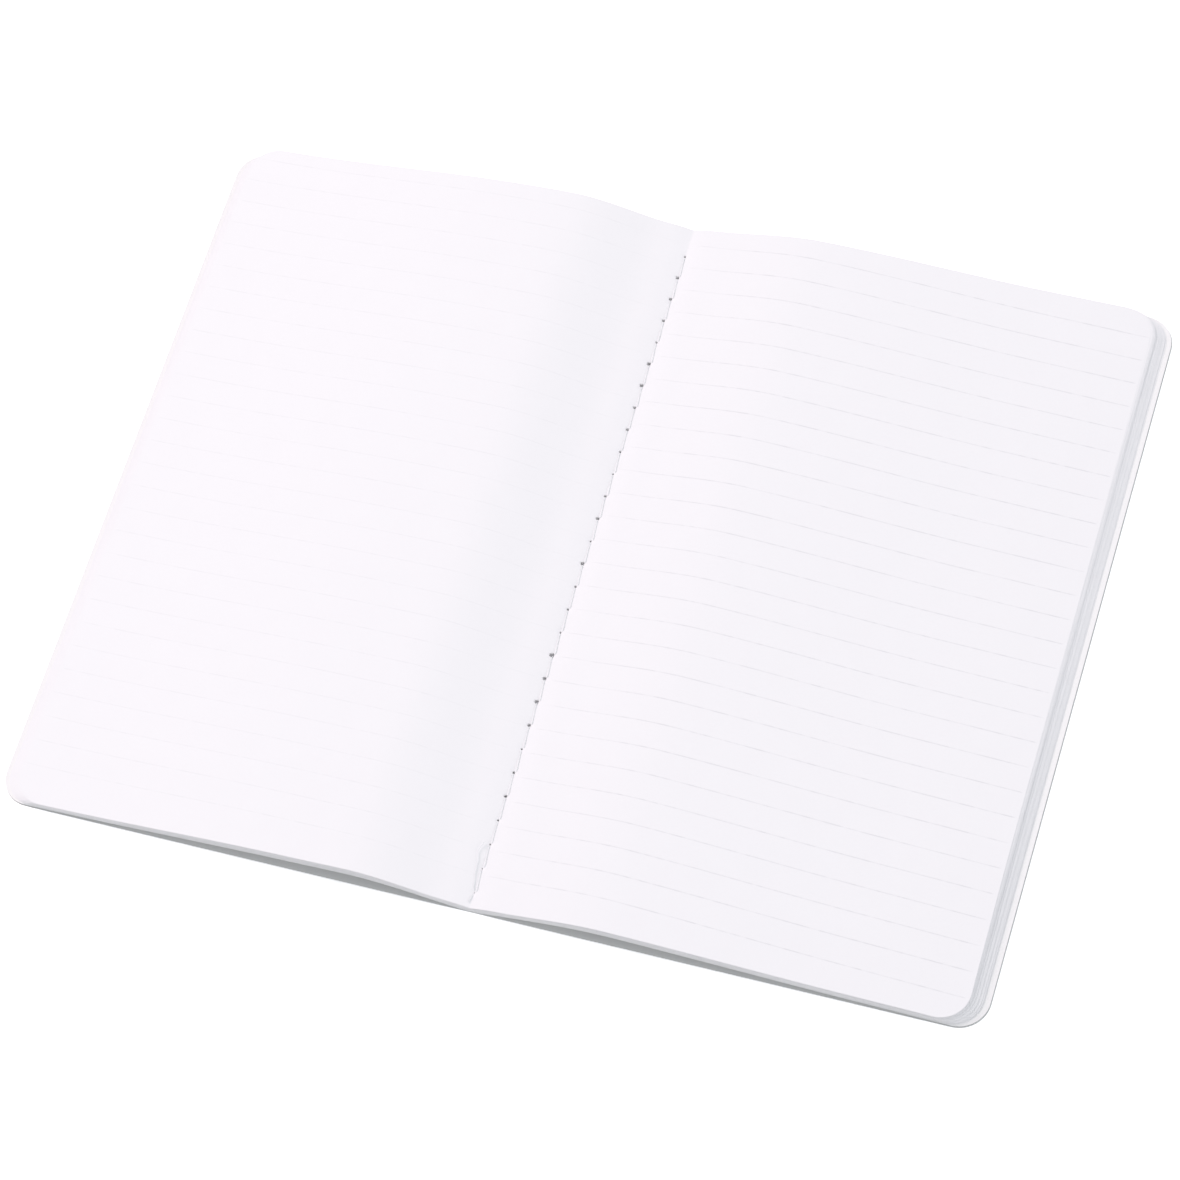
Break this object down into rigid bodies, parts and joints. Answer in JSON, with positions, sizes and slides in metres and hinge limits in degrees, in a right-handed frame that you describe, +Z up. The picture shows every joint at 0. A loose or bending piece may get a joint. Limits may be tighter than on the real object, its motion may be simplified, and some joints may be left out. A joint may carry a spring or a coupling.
{
  "type": "thread-sewn exercise book",
  "caption": "Thin soft-cover exercise book lying open at its centre, ruled leaves sewn through the fold, with a closing half and turning leaves.",
  "frame": {"origin": "centre of the spine on the surface that the open book lies on", "axes": "+X across the spread to the right-hand page, +Y along the fold towards the head, +Z up out of the pages"},
  "size_m": [0.2698, 0.2032, 0.0078],
  "materials": {
    "page_paper": "uncoated, smooth, faint grey ruling",
    "cover_card": "plain uncoated soft card",
    "sewing_thread": "twisted white cotton"
  },
  "bodies": {
    "right_half": {"right_cover": "cover_card", "spine_strip": "cover_card", "right_leaf_07": "page_paper", "right_leaf_08": "page_paper", "right_leaf_09": "page_paper", "right_leaf_10": "page_paper", "right_leaf_11": "page_paper", "right_leaf_12": "page_paper", "right_leaf_13": "page_paper", "right_leaf_14": "page_paper", "right_leaf_15": "page_paper", "right_leaf_16": "page_paper", "right_leaf_17": "page_paper", "right_leaf_18": "page_paper", "right_leaf_19": "page_paper", "right_leaf_20": "page_paper", "right_leaf_21": "page_paper", "right_leaf_22": "page_paper", "right_leaf_23": "page_paper", "right_leaf_24": "page_paper", "gutter_thread": "sewing_thread", "spine_thread": "sewing_thread"},
    "left_half": {"left_cover": "cover_card", "left_leaf_01": "page_paper", "left_leaf_02": "page_paper", "left_leaf_03": "page_paper", "left_leaf_04": "page_paper", "left_leaf_05": "page_paper", "left_leaf_06": "page_paper", "left_leaf_07": "page_paper", "left_leaf_08": "page_paper", "left_leaf_09": "page_paper", "left_leaf_10": "page_paper", "left_leaf_11": "page_paper", "left_leaf_12": "page_paper", "left_leaf_13": "page_paper", "left_leaf_14": "page_paper", "left_leaf_15": "page_paper", "left_leaf_16": "page_paper", "left_leaf_17": "page_paper", "left_leaf_18": "page_paper", "left_leaf_19": "page_paper", "left_leaf_20": "page_paper", "left_leaf_21": "page_paper", "left_leaf_22": "page_paper", "left_leaf_23": "page_paper", "left_leaf_24": "page_paper"},
    "turning_leaf_01": {"right_leaf_01": "page_paper"},
    "turning_leaf_02": {"right_leaf_02": "page_paper"},
    "turning_leaf_03": {"right_leaf_03": "page_paper"},
    "turning_leaf_04": {"right_leaf_04": "page_paper"},
    "turning_leaf_05": {"right_leaf_05": "page_paper"},
    "turning_leaf_06": {"right_leaf_06": "page_paper"}
  },
  "joints": [
    {"name": "close_left_half", "type": "hinge", "parent": "right_half", "child": "left_half", "pos_m": [0, 0, 0.0028], "axis": [0, 1, 0], "range_deg": [0, 150]},
    {"name": "turn_leaf_01", "type": "hinge", "parent": "right_half", "child": "turning_leaf_01", "pos_m": [0, 0, 0.0028], "axis": [0, 1, 0], "range_deg": [-150, 0]},
    {"name": "turn_leaf_02", "type": "hinge", "parent": "right_half", "child": "turning_leaf_02", "pos_m": [0, 0, 0.0028], "axis": [0, 1, 0], "range_deg": [-147.75, 0]},
    {"name": "turn_leaf_03", "type": "hinge", "parent": "right_half", "child": "turning_leaf_03", "pos_m": [0, 0, 0.0028], "axis": [0, 1, 0], "range_deg": [-145.5, 0]},
    {"name": "turn_leaf_04", "type": "hinge", "parent": "right_half", "child": "turning_leaf_04", "pos_m": [0, 0, 0.0028], "axis": [0, 1, 0], "range_deg": [-143.25, 0]},
    {"name": "turn_leaf_05", "type": "hinge", "parent": "right_half", "child": "turning_leaf_05", "pos_m": [0, 0, 0.0028], "axis": [0, 1, 0], "range_deg": [-141, 0]},
    {"name": "turn_leaf_06", "type": "hinge", "parent": "right_half", "child": "turning_leaf_06", "pos_m": [0, 0, 0.0028], "axis": [0, 1, 0], "range_deg": [-138.75, 0]}
  ],
  "couplings": [
    {"joint": "turn_leaf_02", "follows": "turn_leaf_01", "ratio": 0.985},
    {"joint": "turn_leaf_03", "follows": "turn_leaf_01", "ratio": 0.97},
    {"joint": "turn_leaf_04", "follows": "turn_leaf_01", "ratio": 0.955},
    {"joint": "turn_leaf_05", "follows": "turn_leaf_01", "ratio": 0.94},
    {"joint": "turn_leaf_06", "follows": "turn_leaf_01", "ratio": 0.925}
  ]
}
